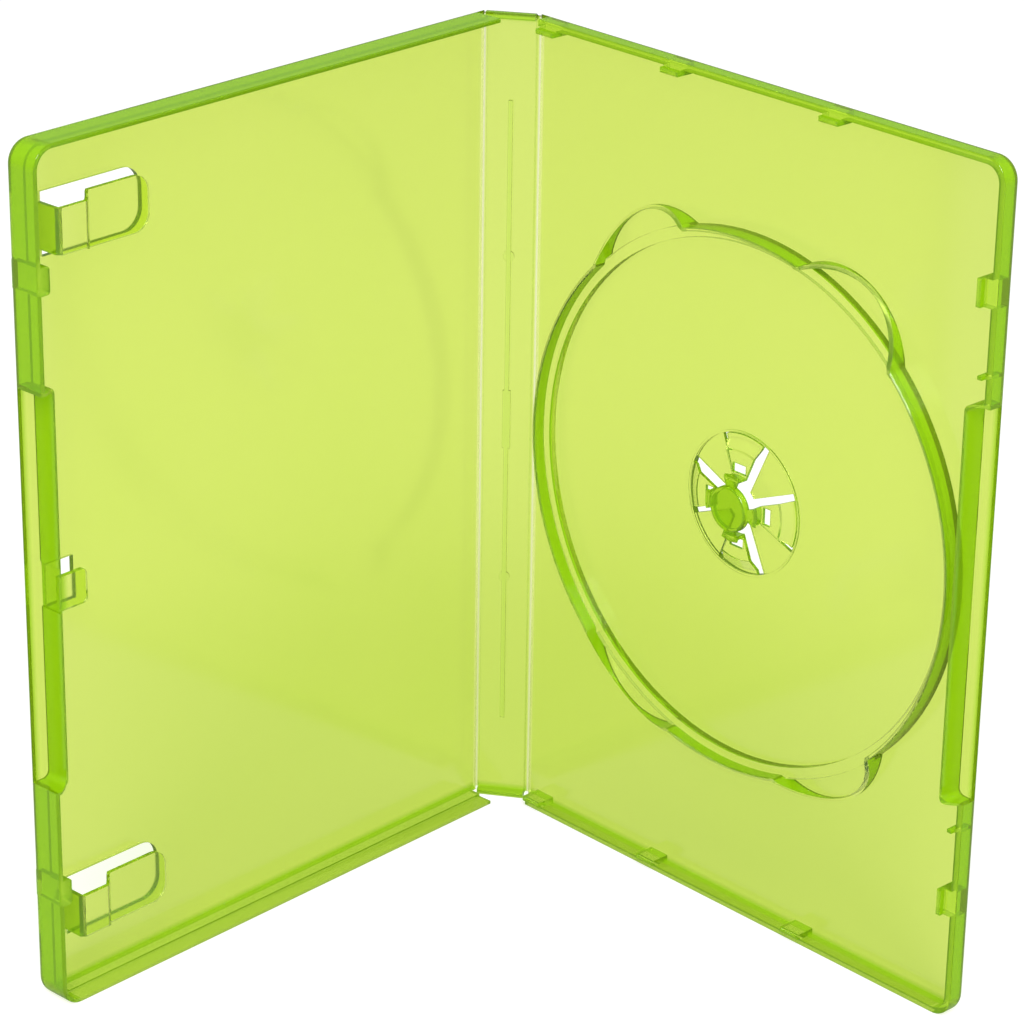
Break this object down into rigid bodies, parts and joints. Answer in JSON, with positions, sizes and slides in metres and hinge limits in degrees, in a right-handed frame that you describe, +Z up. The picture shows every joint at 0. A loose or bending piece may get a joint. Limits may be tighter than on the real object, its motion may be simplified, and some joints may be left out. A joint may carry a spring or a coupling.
{
  "type": "game disc case",
  "caption": "Empty clear green game disc case standing open like a book, with booklet clips in the cover and a push-button disc hub in the tray.",
  "frame": {"origin": "on the ground, under the middle of the open case", "axes": "+Z up along the hinges, +X from the spine to the free edge of the disc tray, -Y into the tray"},
  "size_m": [0.1458, 0.1422, 0.19],
  "materials": {
    "clear_green": "clear lime-green polypropylene, glossy with a faint moulded texture"
  },
  "bodies": {
    "disc_tray": {"disc_tray": "clear_green"},
    "spine": {"spine": "clear_green"},
    "front_cover": {"front_cover": "clear_green"},
    "hub_button": {"hub_button": "clear_green"}
  },
  "joints": [
    {"name": "tray_hinge", "type": "hinge", "parent": "disc_tray", "child": "spine", "pos_m": [-0.06173, 0.07076, 0.095], "axis": [0, 0, 1], "range_deg": [-35.4, 54.6]},
    {"name": "cover_hinge", "type": "hinge", "parent": "spine", "child": "front_cover", "pos_m": [-0.07257, 0.06306, 0.095], "axis": [0, 0, 1], "range_deg": [-58.8, 31.2]},
    {"name": "button_press", "type": "slide", "parent": "disc_tray", "child": "hub_button", "axis": [0, 1, 0], "range_m": [0, 0.0009], "stiffness_N_per_m": 3000}
  ]
}
